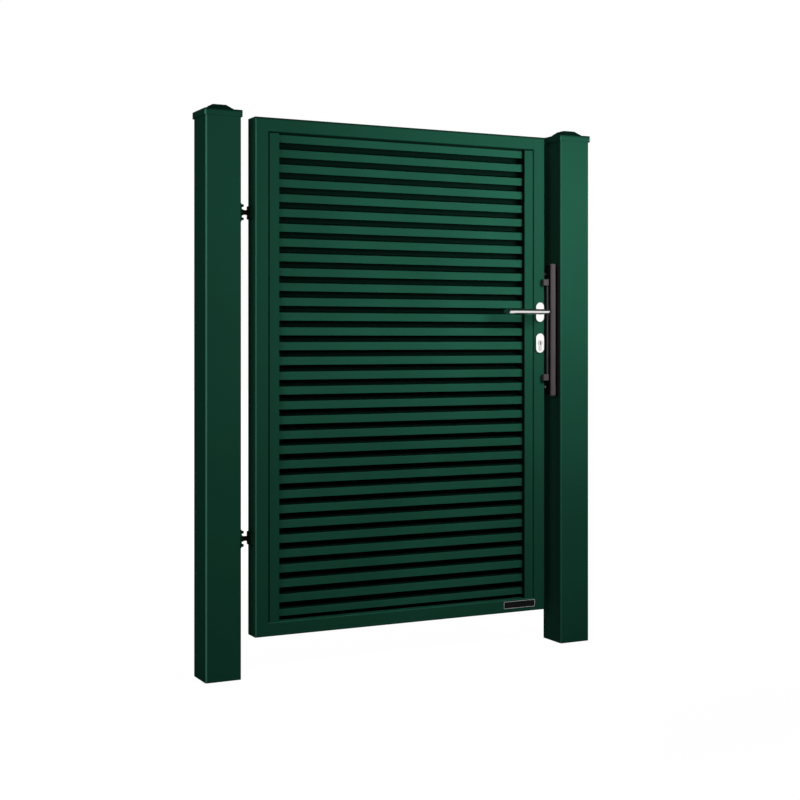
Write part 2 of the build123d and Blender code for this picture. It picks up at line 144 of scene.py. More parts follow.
def length_property(name, description, default):
    """A length in metres that a user may change."""
    return FloatProperty(
        name=name, description=description, default=default, unit="LENGTH", precision=4, min=0.0,
    )


def share_property(name, description, default):
    """A share from none to all."""
    return FloatProperty(
        name=name, description=description, default=default, subtype="FACTOR", min=0.0, max=1.0,
    )


def power_property(name, description, default):
    """A lamp's power in watts."""
    return FloatProperty(name=name, description=description, default=default, unit="POWER", min=0.0)


class CoatSettings(PropertyGroup):
    """The powder coats."""

    green: colour_property("Green", "Moss green of the steelwork", (0.0103, 0.0622, 0.0380))
    green_deep: colour_property("Deep Green", "The coat where it lies thicker", (0.0093, 0.0552, 0.0337))
    # Painted highlight: a lighter green on the upright front edges towards the hinges
    green_edge: colour_property("Green Edge", "The coat where it lies thin, on edges", (0.12, 0.43, 0.30))
    # Painted light: a lighter tone that lifts the louvres' recessed, shaded lips
    green_lip: colour_property("Green Lip", "The louvres' brighter tone", (0.0138, 0.0820, 0.0506))
    # Painted light on the leaf's hinge-side face; also the softer painted highlight on the lock post's
    # edges
    green_side: colour_property(
        "Green Side", "The leaf's hinge side and softer edges", (0.0225, 0.1160, 0.0740),
    )
    # Painted shade: a darker green on the lock post's inner side, next to the leaf
    green_inner: colour_property(
        "Green Inner", "The coat on the lock post's inner side", (0.0086, 0.0378, 0.0245),
    )
    green_shade: colour_property("Green Shade", "The coat in deep shade", (0.0022, 0.0098, 0.0067))
    # Painted shade darkening the caps' rounded tops
    green_top: colour_property("Green Top", "The coat on the caps' rounded tops", (0.0028, 0.0180, 0.0110))
    cap_rise: length_property("Cap Rise", "How far a cap's rounded top stands over its rim", 0.016)
    green_roughness: share_property("Green Roughness", "How dull the green coat is", 0.42)
    green_shine: share_property("Green Shine", "How strongly the green coat mirrors", 0.0)
    # Widths of the bands of painted edge highlight and painted edge shade on the posts and the leaf
    post_edge_light_shade_width: length_property("Post Edge Width", "How far a post's edge tone reaches in", 0.0055)
    leaf_edge_light_shade_width: length_property("Leaf Edge Width", "How far the leaf's edge tone reaches in", 0.0036)
    # Width of the painted shade along the top edges of the posts, caps and leaf
    top_edge_shade_width: length_property("Top Edge Width", "How far the dark of a top edge reaches down", 0.0085)
    black: colour_property("Black", "Satin black of the hinges and keep", (0.0045, 0.0046, 0.0046))
    black_deep: colour_property("Deep Black", "The black where it lies thicker", (0.0028, 0.0029, 0.0029))
    black_roughness: share_property("Black Roughness", "How dull the black coat is", 0.42)
    black_shine: share_property("Black Shine", "How strongly the black coat mirrors", 0.06)
    peel_size: length_property("Peel Size", "Width of the coat's fine ripples", 0.0022)
    peel_height: length_property("Peel Height", "Height of the coat's fine ripples", 0.00002)


class MetalSettings(PropertyGroup):
    """The bare metals and the stop's grey."""

    lever: colour_property("Lever", "Satin stainless steel of the levers", (0.66, 0.66, 0.65))
    rose: colour_property("Rose", "Bright satin finish of the roses", (0.94, 0.94, 0.93))
    steel: colour_property("Steel", "Steel of the lock cylinder and latch", (0.64, 0.64, 0.63))
    pin: colour_property("Pin", "Blackened steel of the hinge pins", (0.020, 0.021, 0.021))
    stop: colour_property("Stop", "Warm grey of the keep's stop bar", (0.0680, 0.0585, 0.0615))
    lever_roughness: share_property("Lever Roughness", "How dull the levers are", 0.22)
    rose_roughness: share_property("Rose Roughness", "How dull the roses are", 0.30)
    steel_roughness: share_property("Steel Roughness", "How dull the lock's steel is", 0.34)
    pin_roughness: share_property("Pin Roughness", "How dull the hinge pins are", 0.40)


class ScrewSettings(PropertyGroup):
    """The screws and the hinge studs' threads."""

    hinge_head: length_property("Hinge Head", "Width of the hinge plates' screw heads", 0.0080)
    hinge_head_height: length_property("Hinge Head Height", "Height of the hinge plates' heads", 0.0050)
    hinge_plate: length_property("Hinge Plate", "Thickness of the leaf's hinge plates", 0.006)
    hinge_inset: length_property("Hinge Inset", "From a plate's edge to its screws", 0.0042)
    keep_head: length_property("Keep Head", "Width of the keep's screw heads", 0.0100)
    keep_head_height: length_property("Keep Head Height", "Height of the keep's heads", 0.0032)
    keep_inset: length_property("Keep Inset", "From the keep plate's ends to its screws", 0.0235)
    keep_back: length_property("Keep Back", "From the keep plate's rear edge to its screws", 0.017)
    edge_head: length_property("Edge Head", "Width of the lock edge plate's screw heads", 0.0090)
    edge_head_height: length_property("Edge Head Height", "Height of the edge plate's heads", 0.0012)
    edge_inset: length_property("Edge Inset", "From the edge plate's ends to its screws", 0.0090)
    stud: length_property("Stud", "Width of the hinge studs", 0.013)
    stud_start: length_property("Stud Start", "From the pin's middle to the first thread", 0.0155)
    thread_pitch: length_property("Thread Pitch", "From one thread turn to the next", 0.0018)
    thread_height: length_property("Thread Height", "From a thread's middle to its crest", 0.0006)
    thread_sunk: length_property("Thread Sunk", "How deep a thread's middle lies in its stud", 0.0002)


class PlateSettings(PropertyGroup):
    """The bare plate on the bottom rail."""

    width: length_property("Width", "Length of the plate along the rail", 0.108)
    height: length_property("Height", "Height of the plate", 0.0225)
    thickness: length_property("Thickness", "How far the plate stands out", 0.0012)
    corner: length_property("Corner", "Radius of the plate's corners", 0.003)
    edge: length_property("Edge", "Width of the plate's sloped edge", 0.0004)
    from_lock: length_property("From Lock", "From the leaf's lock edge to the plate", 0.035)
    lift: length_property("Lift", "From the rail's middle height to the plate's", 0.004)
    line: length_property("Line", "Width of the pale border line", 0.0013)
    line_inset: length_property("Line Inset", "From the plate's edge to the border line", 0.0008)
    line_height: length_property("Line Height", "How far the border line stands out", 0.0001)
    line_colour: colour_property("Line Colour", "Pale grey of the border line", (0.62, 0.66, 0.64))


class GrooveSettings(PropertyGroup):
    """The strip in the groove under the top rail."""

    recess: length_property("Recess", "From the louvres' face to the strip", 0.0025)
    corner: length_property("Corner", "Radius of the strip's corners", 0.0008)


class KeywaySettings(PropertyGroup):
    """The key slots in the lock cylinder, drawn as black sheets of painted shade."""

    width: length_property("Width", "Width of a key slot", 0.0028)
    height: length_property("Height", "Height of a key slot", 0.0100)
    corner: length_property("Corner", "Radius of a key slot's corners", 0.0010)
    drop: length_property("Drop", "From the cylinder's top to a slot's middle", 0.0092)
    # A slot's black lining is painted shade that stands in for the slot's depth
    proud: length_property("Proud", "How far a slot's dark lining stands out", 0.0002)


class StageSettings(PropertyGroup):
    """The floor, lamps, mirrored boards and camera."""

    floor_size: length_property("Floor Size", "Side of the floor", 40.0)
    floor_shade: share_property("Floor Shade", "Brightness of the floor for light that bounces", 0.45)
    floor_glow: share_property("Floor Glow", "Share of the floor's white that no shadow takes", 0.92)
    floor_white: FloatProperty(
        name="Floor White", description="Brightness of the floor's white", default=1.05,
    )
    fill: share_property("Fill", "Brightness of the light from all round", 0.03)
    mirrored: share_property("Mirrored", "Brightness of what metal mirrors beside the boards", 0.02)
    board_white: FloatProperty(name="Board White", description="Brightness of the boards", default=1.30)
    board_top: share_property("Board Top", "Sine of the height at which the boards end", 0.51)
    key_power: power_property("Key Power", "Power of the main lamp", 17.2)
    side_power: power_property("Side Power", "Power of the lamp on the hinge side", 11.2)
    back_power: power_property("Back Power", "Power of the lamp behind the gate", 40.0)
    top_power: power_property("Top Power", "Power of the lamp over the gate", 14.0)
    focal: FloatProperty(
        name="Focal Length", description="The camera's lens", default=64.355, unit="CAMERA",
    )
    turn: FloatProperty(
        name="Turn", description="How far the camera is turned to the right",
        default=math.radians(26.596), subtype="ANGLE",
    )
    horizon: FloatProperty(
        name="Horizon", description="Height of the horizon over the picture's middle, in picture heights",
        default=0.0767,
    )
    camera_place: FloatVectorProperty(
        name="Camera Place", description="Where the camera stands",
        default=(-1.2760, -3.6394, 0.9070), subtype="TRANSLATION",
    )
    camera_reach: length_property("Camera Reach", "How far the camera sees", 100.0)


class GateSettings(PropertyGroup):
    """Everything that can be set on the gate's looks."""

    coat: PointerProperty(type=CoatSettings)
    metal: PointerProperty(type=MetalSettings)
    screw: PointerProperty(type=ScrewSettings)
    groove: PointerProperty(type=GrooveSettings)
    keyway: PointerProperty(type=KeywaySettings)
    plate: PointerProperty(type=PlateSettings)
    stage: PointerProperty(type=StageSettings)


def map_range(nodes, links, value, spans, kind="SMOOTHSTEP"):
    """A value that goes between two levels, as another one goes between two levels of its own."""
    made = nodes.new("ShaderNodeMapRange")
    made.interpolation_type = kind
    for label, level in zip(("From Min", "From Max", "To Min", "To Max"), spans):
        made.inputs[label].default_value = level
    links.new(value, made.inputs["Value"])
    return made.outputs["Result"]


def vector_math(nodes, links, operation, first, second=(0.0, 0.0, 0.0)):
    """The outputs of a node that works on a vector and a fixed one."""
    made = nodes.new("ShaderNodeVectorMath")
    made.operation = operation
    made.inputs[1].default_value = second
    links.new(first, made.inputs[0])
    return made.outputs


def larger(nodes, links, first, second):
    """The larger of two values."""
    either = nodes.new("ShaderNodeMath")
    either.operation = "MAXIMUM"
    links.new(first, either.inputs[0])
    links.new(second, either.inputs[1])
    return either.outputs["Value"]


class Finish:
    """A material whose pattern lies on Object coordinates."""

    def __init__(self, name, **fixed):
        self.material = bpy.data.materials.new(name)
        self.material.use_nodes = True
        self.nodes = self.material.node_tree.nodes
        self.links = self.material.node_tree.links
        self.shader = self.nodes["Principled BSDF"]
        self.place = self.nodes.new("ShaderNodeTexCoord").outputs["Object"]
        for socket, value in fixed.items():
            self.shader.inputs[socket.replace("_", " ")].default_value = value

    def noise(self, size, detail=2.0, stretch=(1.0, 1.0, 1.0)):
        """Noise whose features are about size metres wide, drawn out along an axis by stretch."""
        mapping = self.nodes.new("ShaderNodeMapping")
        mapping.inputs["Scale"].default_value = [1.0 / part for part in stretch]
        self.links.new(self.place, mapping.inputs["Vector"])
        noise = self.nodes.new("ShaderNodeTexNoise")
        noise.inputs["Scale"].default_value = 1.0 / size
        noise.inputs["Detail"].default_value = detail
        self.links.new(mapping.outputs["Vector"], noise.inputs["Vector"])
        return noise.outputs["Fac"]

    def spread(self, value, low, high):
        """The noise's middle range drawn out from low to high."""
        spans = (NOISE_LOW, NOISE_HIGH, low, high)
        return map_range(self.nodes, self.links, value, spans, "LINEAR")

    def colour(self, value, dark, light):
        """Base colour between two tones."""
        mix = self.nodes.new("ShaderNodeMix")
        mix.data_type = "RGBA"
        mix.inputs["A"].default_value = (*dark, 1.0)
        mix.inputs["B"].default_value = (*light, 1.0)
        self.links.new(self.spread(value, 0.0, 1.0), mix.inputs["Factor"])
        self.links.new(mix.outputs["Result"], self.shader.inputs["Base Color"])

    def tint(self, value, colour):
        """Lays another tone over the base colour where value is one."""
        base = self.shader.inputs["Base Color"]
        mix = self.nodes.new("ShaderNodeMix")
        mix.data_type = "RGBA"
        self.links.new(base.links[0].from_socket, mix.inputs["A"])
        mix.inputs["B"].default_value = (*colour, 1.0)
        self.links.new(value, mix.inputs["Factor"])
        self.links.new(mix.outputs["Result"], base)

    def sum(self, operation, first, second=0.0):
        """A sum on an output and a second output or number."""
        made = self.nodes.new("ShaderNodeMath")
        made.operation = operation
        self.links.new(first, made.inputs[0])
        if isinstance(second, bpy.types.NodeSocket):
            self.links.new(second, made.inputs[1])
        else:
            made.inputs[1].default_value = second
        return made.outputs["Value"]

    def along(self, axis):
        """The place along an axis."""
        parts = self.nodes.new("ShaderNodeSeparateXYZ")
        self.links.new(self.place, parts.inputs["Vector"])
        return parts.outputs[axis]

    def ramp(self, value, start, end):
        """A soft rise from zero to one between two levels."""
        return map_range(self.nodes, self.links, value, (start, end, 0.0, 1.0))

    def outside(self, axis, low, high):
        """How far a place lies out of a span along an axis, below zero within it."""
        offset = self.sum("SUBTRACT", self.along(axis), (low + high) / 2)
        return self.sum("SUBTRACT", self.sum("ABSOLUTE", offset), (high - low) / 2)

    def upright_edges(self, low, high, side, width):
        """One on a box's upright edges on one side in X, falling to zero a width away from them."""
        face = high[0] if side > 0 else low[0]
        across = self.sum("MULTIPLY", self.sum("SUBTRACT", self.along("X"), face), side)
        nearer = self.sum("MINIMUM", across, self.outside("Y", low[1], high[1]))
        return self.ramp(nearer, -width, 0.0)

    def top_edges(self, low, high, width):
        """One on a box's upper front and back edges, falling to zero a width away from them."""
        under = self.sum("SUBTRACT", self.along("Z"), high[2])
        nearer = self.sum("MINIMUM", under, self.outside("Y", low[1], high[1]))
        return self.ramp(nearer, -width, 0.0)

    def roughness(self, value, low, high):
        """Roughness between two levels."""
        self.links.new(self.spread(value, low, high), self.shader.inputs["Roughness"])

    def bump(self, value, height):
        """Surface relief of a height in metres, added to what is there already."""
        bump = self.nodes.new("ShaderNodeBump")
        bump.inputs["Distance"].default_value = height
        self.links.new(value, bump.inputs["Height"])
        normal = self.shader.inputs["Normal"]
        if normal.is_linked:
            self.links.new(normal.links[0].from_socket, bump.inputs["Normal"])
        self.links.new(bump.outputs["Normal"], normal)


def powder_coat(name, coat, tones, roughness, shine):
    """A baked powder coat: fine ripples, a slow drift of tone and a soft sheen."""
    tone_patch = 0.35
    sheen_patch = 0.02
    sheen_range = 0.04
    # The second layer of ripples is this many times finer and lower
    finer = 6
    lower = 4
    finish = Finish(name, Specular_IOR_Level=shine)
    finish.colour(finish.noise(tone_patch, detail=3.0), *tones)
    finish.roughness(finish.noise(sheen_patch), roughness - sheen_range, roughness + sheen_range)
    finish.bump(finish.noise(coat.peel_size, detail=1.0), coat.peel_height)
    finish.bump(finish.noise(coat.peel_size / finer, detail=1.0), coat.peel_height / lower)
    return finish


def green_coat(coat, name):
    """The moss green coat."""
    tones = (coat.green_deep, coat.green)
    return powder_coat(name, coat, tones, coat.green_roughness, coat.green_shine)


def painted_light_coat(coat, name, box, edge, side, width):
    """The green coat with a side tone and painted highlights on a box's hinge side.

    Painted shade darkens the other side's upright edges and the top edges.
    """
    side_start = 0.0012
    side_full = 0.0004
    finish = green_coat(coat, name)
    low, high = box
    # The side tone: painted light on the leaf, painted shade on the lock post, plain green on the hinge
    # post
    finish.tint(finish.ramp(finish.along("X"), low[0] + side_start, low[0] + side_full), side)
    # Painted highlight on the upright edges towards the hinges
    finish.tint(finish.upright_edges(low, high, -1, width), edge)
    # Painted shade on the far side's upright edges, and below on the top edges
    finish.tint(finish.upright_edges(low, high, 1, width), coat.green_shade)
    finish.tint(finish.top_edges(low, high, coat.top_edge_shade_width), coat.green_shade)
    return finish


def post_coat(coat, names, edge, side):
    """Coats a post and its cap, whose rounded top is darkened with painted shade."""
    fade_below = 0.0012
    fade_above = 0.0006
    width = coat.post_edge_light_shade_width
    post, cap = names
    shaft = painted_light_coat(coat, "moss_green_" + post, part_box(post), edge, side, width)
    paint_nodes((post,), shaft.material)
    low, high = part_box(cap)
    rim_top = high[2] - coat.cap_rise
    rim = (low, (high[0], high[1], rim_top))
    finish = painted_light_coat(coat, "moss_green_" + cap, rim, edge, side, width)
    # Painted shade over the cap's rounded top, above its rim
    above = finish.ramp(finish.along("Z"), rim_top - fade_below, rim_top + fade_above)
    finish.tint(above, coat.green_top)
    paint_nodes((cap,), finish.material)


def panel_coat(coat, name, tones, box):
    """The green coat of the panel's pieces, with painted shade on every face that lies within the panel."""
    fade_start = 0.0004
    fade_full = 0.0013
    finish = powder_coat(name, coat, tones, coat.green_roughness, coat.green_shine)
    low, high = box
    # Painted shade on the faces that lie between the panel's front and back
    within = finish.ramp(finish.outside("Y", low[1], high[1]), -fade_start, -fade_full)
    finish.tint(within, coat.green_shade)
    return finish.material


def black_coat(coat, name="satin_black_coat"):
    """The satin black coat of the hinges, the keep and the plate."""
    tones = (coat.black_deep, coat.black)
    return powder_coat(name, coat, tones, coat.black_roughness, coat.black_shine)


def eye_coat(coat, plate_face):
    """The black coat of a hinge eye, whose plate is coated green with the leaf."""
    fade_start = 0.0004
    fade_full = 0.0001
    finish = black_coat(coat, "hinge_eye_coat")
    plate = finish.ramp(finish.along("X"), plate_face - fade_start, plate_face - fade_full)
    finish.tint(plate, coat.green_deep)
    return finish.material


def brushed_metal(name, colour, roughness, grain):
    """Metal with a fine grain, drawn out as grain says."""
    grain_width = 0.0006
    grain_height = 0.000004
    dark_share = 0.86
    smoother = 0.05
    rougher = 0.06
    finish = Finish(name, Metallic=1.0)
    lines = finish.noise(grain_width, stretch=grain)
    finish.colour(lines, [part * dark_share for part in colour], colour)
    finish.roughness(lines, roughness - smoother, roughness + rougher)
    finish.bump(lines, grain_height)
    return finish.material


def stop_grey(name, colour):
    """The keep's warm grey, with a fine pebbled skin."""
    shine = 0.04
    dark_share = 0.88
    tone_patch = 0.05
    sheen_patch = 0.004
    roughness = (0.42, 0.52)
    pebble_width = 0.0009
    pebble_height = 0.00003
    finish = Finish(name, Specular_IOR_Level=shine)
    finish.colour(finish.noise(tone_patch, detail=3.0), [part * dark_share for part in colour], colour)
    finish.roughness(finish.noise(sheen_patch), *roughness)
    finish.bump(finish.noise(pebble_width, detail=1.0), pebble_height)
    return finish


def shaded_stop_bar_grey(colour, side, shade):
    """The same grey with painted shade, near black, on its side towards the leaf."""
    fade_start = 0.0030
    fade_full = 0.0015
    finish = stop_grey("warm_grey_stop_bar", colour)
    # Painted shade, in the hinges' black, along the bar's side towards the leaf
    finish.tint(finish.ramp(finish.along("X"), side + fade_start, side + fade_full), shade)
    return finish.material


def line_paint(colour):
    """The thin pale paint of the plate's border."""
    shine = 0.3
    faded_share = 0.8
    tone_patch = 0.004
    sheen_patch = 0.002
    roughness = (0.45, 0.60)
    finish = Finish("pale_border_paint", Specular_IOR_Level=shine)
    finish.colour(finish.noise(tone_patch), [part * faded_share for part in colour], colour)
    finish.roughness(finish.noise(sheen_patch), *roughness)
    return finish.material


def paint_nodes(names, material):
    """Gives frame nodes a finish."""
    for name in names:
        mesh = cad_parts[name].data
        mesh.materials.clear()
        mesh.materials.append(material)


def common_box(names):
    """The box round several frame nodes."""
    lows, highs = zip(*[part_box(name) for name in names])
    return [min(part) for part in zip(*lows)], [max(part) for part in zip(*highs)]


def material_named(name):
    """A finish that an earlier step has made."""
    return bpy.data.materials[name]


def add_piece(name, mesh, body):
    """Links a finished mesh as a piece that moves with a body."""
    piece = bpy.data.objects.new(name, mesh)
    bpy.context.scene.collection.objects.link(piece)
    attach(piece, body)


def points_object(name, points, facing):
    """A helper object with one vertex for each place and the way that each one faces."""
    mesh = bpy.data.meshes.new(name)
    mesh.from_pydata(points, [], [])
    ways = mesh.attributes.new("facing", "FLOAT_VECTOR", "POINT")
    for item, way in zip(ways.data, facing):
        item.vector = way
    helper = bpy.data.objects.new(name, mesh)
    bpy.context.scene.collection.objects.link(helper)
    return helper


class Tree:
    """A Geometry Nodes tree with named inputs."""

    def __init__(self, name, inputs):
        self.group = bpy.data.node_groups.new(name, "GeometryNodeTree")
        self.group.is_modifier = True
        sockets = self.group.interface
        sockets.new_socket("Geometry", in_out="INPUT", socket_type="NodeSocketGeometry")
        for label, default in inputs.items():
            socket = sockets.new_socket(label, in_out="INPUT", socket_type="NodeSocketFloat")
            socket.default_value = default
        sockets.new_socket("Geometry", in_out="OUTPUT", socket_type="NodeSocketGeometry")
        self.given = self.group.nodes.new("NodeGroupInput").outputs
        self.result = self.group.nodes.new("NodeGroupOutput").inputs["Geometry"]

    def node(self, kind, settings=None, **inputs):
        """A node whose sockets take values or other nodes' outputs."""
        made = self.group.nodes.new(kind)
        for key, value in (settings or {}).items():
            setattr(made, key, value)
        for label, value in inputs.items():
            self.join(value, made.inputs[label.replace("_", " ")])
        return made

    def join(self, value, socket):
        """Feeds a socket with an output or a plain value."""
        if isinstance(value, bpy.types.NodeSocket):
            self.group.links.new(value, socket)
        else:
            socket.default_value = value

    def sum(self, operation, first, second):
        """A sum of two numbers."""
        math_node = self.node("ShaderNodeMath", {"operation": operation})
        self.join(first, math_node.inputs[0])
        self.join(second, math_node.inputs[1])
        return math_node.outputs[0]

    def vector(self, x, y, z):
        """A vector of three numbers."""
        return self.node("ShaderNodeCombineXYZ", X=x, Y=y, Z=z).outputs["Vector"]

    def place(self, shape, material):
        """Sets a shape on each point, turned to face its own way, as plain geometry."""
        facing = self.node("GeometryNodeInputNamedAttribute", {"data_type": "FLOAT_VECTOR"}, Name="facing")
        turn = self.node("FunctionNodeAlignRotationToVector", {"axis": "Z"})
        self.join(facing.outputs["Attribute"], turn.inputs["Vector"])
        spots = self.node(
            "GeometryNodeInstanceOnPoints", Points=self.given["Geometry"], Instance=shape,
            Rotation=turn.outputs["Rotation"],
        )
        plain = self.node("GeometryNodeRealizeInstances", Geometry=spots.outputs["Instances"])
        painted = self.node(
            "GeometryNodeSetMaterial", Geometry=plain.outputs["Geometry"], Material=material,
        )
        self.group.links.new(painted.outputs["Geometry"], self.result)

    def plain_mesh(self, helper, **values):
        """Runs the tree on a helper's points with these inputs and returns the result as a mesh."""
        modifier = helper.modifiers.new("shape", "NODES")
        modifier.node_group = self.group
        for item in self.group.interface.items_tree:
            key = item.name.replace(" ", "_")
            if item.in_out == "INPUT" and key in values:
                modifier[item.identifier] = values[key]
        helper.update_tag()
        graph = bpy.context.evaluated_depsgraph_get()
        mesh = bpy.data.meshes.new_from_object(helper.evaluated_get(graph))
        helper.modifiers.remove(modifier)
        bpy.data.objects.remove(helper)
        mesh.shade_smooth()
        mesh.set_sharp_from_angle(angle=SHARP_ANGLE)
        return mesh


def screw_tree(material):
    """A domed screw head with a hexagon socket, set on each point."""
    tree = Tree("screw_heads", {"Head Diameter": 0.008, "Head Height": 0.004, "Socket Share": 0.45})
    width = tree.given["Head Diameter"]
    height = tree.given["Head Height"]
    radius = tree.sum("DIVIDE", width, 2.0)
    ball = tree.node("GeometryNodeMeshUVSphere", Segments=HEAD_SEGMENTS, Rings=HEAD_RINGS, Radius=radius)
    squash = tree.vector(1.0, 1.0, tree.sum("DIVIDE", height, radius))
    dome = tree.node("GeometryNodeTransform", Geometry=ball.outputs["Mesh"], Scale=squash)
    side = tree.sum("MULTIPLY", width, 2.0)
    block = tree.node("GeometryNodeMeshCube", Size=tree.vector(side, side, side))
    drop = tree.vector(0.0, 0.0, tree.sum("MULTIPLY", width, -1.0))
    below = tree.node("GeometryNodeTransform", Geometry=block.outputs["Mesh"], Translation=drop)
    socket_radius = tree.sum("MULTIPLY", radius, tree.given["Socket Share"])
    prism = tree.node(
        "GeometryNodeMeshCylinder", Vertices=SOCKET_SIDES, Radius=socket_radius, Depth=height,
    )
    lift = tree.vector(0.0, 0.0, height)
    socket = tree.node("GeometryNodeTransform", Geometry=prism.outputs["Mesh"], Translation=lift)
    cut = tree.node("GeometryNodeMeshBoolean", {"operation": "DIFFERENCE"})
    tree.join(dome.outputs["Geometry"], cut.inputs["Mesh 1"])
    tree.join(below.outputs["Geometry"], cut.inputs["Mesh 2"])
    tree.join(socket.outputs["Geometry"], cut.inputs["Mesh 2"])
    tree.place(cut.outputs["Mesh"], material)
    return tree


def thread_tree(material):
    """A screw thread wound up from each point."""
    tree = Tree("stud_threads", {"Length": 0.02, "Pitch": 0.002, "Core Radius": 0.006, "Height": 0.0006})
    length = tree.given["Length"]
    turns = tree.sum("DIVIDE", length, tree.given["Pitch"])
    core = tree.given["Core Radius"]
    coil = tree.node(
        "GeometryNodeCurveSpiral", Resolution=THREAD_STEPS, Rotations=turns, Start_Radius=core,
        End_Radius=core, Height=length,
    )
    ridge = tree.node(
        "GeometryNodeCurvePrimitiveCircle", Resolution=RIDGE_SIDES, Radius=tree.given["Height"],
    )
    thread = tree.node(
        "GeometryNodeCurveToMesh", Curve=coil.outputs["Curve"], Profile_Curve=ridge.outputs["Curve"],
        Fill_Caps=True,
    )
    tree.place(thread.outputs["Mesh"], material)
    return tree


def add_screws(name, points, facing, diameter, height, finish, body):
    """Screw heads on the given places as one piece."""
    material = material_named(finish)
    helper = points_object(name + "_points", points, [facing] * len(points))
    mesh = screw_tree(material).plain_mesh(helper, Head_Diameter=diameter, Head_Height=height)
    add_piece(name, mesh, body)


def rounded_outline(width, height, corner):
    """Points round a rectangle with round corners, about its middle."""
    points = []
    for turn, (side_x, side_z) in enumerate(((1, 1), (-1, 1), (-1, -1), (1, -1))):
        centre_x = side_x * (width / 2 - corner)
        centre_z = side_z * (height / 2 - corner)
        for step in range(CORNER_STEPS + 1):
            angle = (turn + step / CORNER_STEPS) * math.pi / 2
            points.append((centre_x + corner * math.cos(angle), centre_z + corner * math.sin(angle)))
    return points


def shell_mesh(name, rings, material, closed_core=False):
    """A closed skin through rings of points, capped at both ends or joined end to end."""
    build = bmesh.new()
    loops = [[build.verts.new(point) for point in ring] for ring in rings]
    pairs = list(zip(loops, loops[1:]))
    if closed_core:
        pairs.append((loops[-1], loops[0]))
    else:
        build.faces.new(loops[0])
        build.faces.new(loops[-1])
    for lower, upper in pairs:
        count = len(lower)
        for i in range(count):
            j = (i + 1) % count
            build.faces.new((lower[i], lower[j], upper[j], upper[i]))
    bmesh.ops.recalc_face_normals(build, faces=build.faces)
    mesh = bpy.data.meshes.new(name)
    build.to_mesh(mesh)
    build.free()
    mesh.materials.append(material)
    mesh.shade_smooth()
    mesh.set_sharp_from_angle(angle=SHARP_ANGLE)
    return mesh


class GATE_OT_coat_steelwork(Operator):
    """Coats the posts, caps, leaf frame, side strips and louvres in moss green, with painted light and
    shade
    """

    bl_idname = "gate.coat_steelwork"
    bl_label = "Coat Steelwork"

    def execute(self, context):
        coat = context.scene.gate.coat
        post_coat(coat, HINGE_SIDE_NODES, coat.green_edge, coat.green)
        # The lock post gets painted shade on its inner side and a softer painted highlight on its edges
        post_coat(coat, LOCK_SIDE_NODES, coat.green_side, coat.green_inner)
        # The leaf gets painted light on its hinge-side face and a painted highlight on its hinge-side edges
        leaf = (common_box(LEAF_FRAME_NODES), coat.green_edge, coat.green_side, coat.leaf_edge_light_shade_width)
        paint_nodes(LEAF_FRAME_NODES, painted_light_coat(coat, "moss_green_leaf_frame", *leaf).material)
        sill = painted_light_coat(coat, "moss_green_bottom_rail", *leaf)
        # Painted highlight along the bottom rail's top edges
        sill.tint(sill.top_edges(RAIL_LOW, RAIL_HIGH, coat.leaf_edge_light_shade_width), coat.green_side)
        paint_nodes(("bottom_rail",), sill.material)
        plain = (coat.green_deep, coat.green)
        paint_nodes(STRIP_NODES, panel_coat(coat, "moss_green_strips", plain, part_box(STRIP_NODES[0])))
        # The louvres' tone reaches up to the painted-light green of their lips
        lips = (coat.green, coat.green_lip)
        louvres = panel_coat(coat, "moss_green_louvres", lips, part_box("louvre_blades"))
        paint_nodes(("louvre_blades",), louvres)
        return {"FINISHED"}


class GATE_OT_close_groove(Operator):
    """Fits the strip, dark with painted shade, that closes the groove between the top rail and the louvres
    """

    bl_idname = "gate.close_groove"
    bl_label = "Close Groove"

    def execute(self, context):
        groove = context.scene.gate.groove
        depth = BLADES_HIGH.y - BLADES_LOW.y - 2 * groove.recess
        outline = rounded_outline(depth, TOP_RAIL_LOW.z - BLADES_HIGH.z, groove.corner)
        centre_y = (BLADES_LOW.y + BLADES_HIGH.y) / 2
        centre_z = (TOP_RAIL_LOW.z + BLADES_HIGH.z) / 2
        low, high = common_box(STRIP_NODES)
        rings = [[(x, centre_y + y, centre_z + z) for y, z in outline] for x in (low[0], high[0])]
        # The louvres' finish lays its painted shade over the whole strip, which lies within the panel
        mesh = shell_mesh("top_groove_strip", rings, material_named("moss_green_louvres"))
        add_piece("top_groove_strip", mesh, "leaf")
        return {"FINISHED"}


class GATE_OT_finish_hinges(Operator):
    """Coats the hinges and blackens their pins"""

    bl_idname = "gate.finish_hinges"
    bl_label = "Finish Hinges"

    def execute(self, context):
        gate = context.scene.gate
        metal = gate.metal
        paint_nodes(BRACKET_NODES, black_coat(gate.coat).material)
        plate_face = HINGE_EYES[0][1].x - gate.screw.hinge_plate
        paint_nodes(EYE_NODES, eye_coat(gate.coat, plate_face))
        pin = brushed_metal("blackened_steel", metal.pin, metal.pin_roughness, GRAIN_EVEN)
        paint_nodes(PIN_NODES, pin)
        return {"FINISHED"}


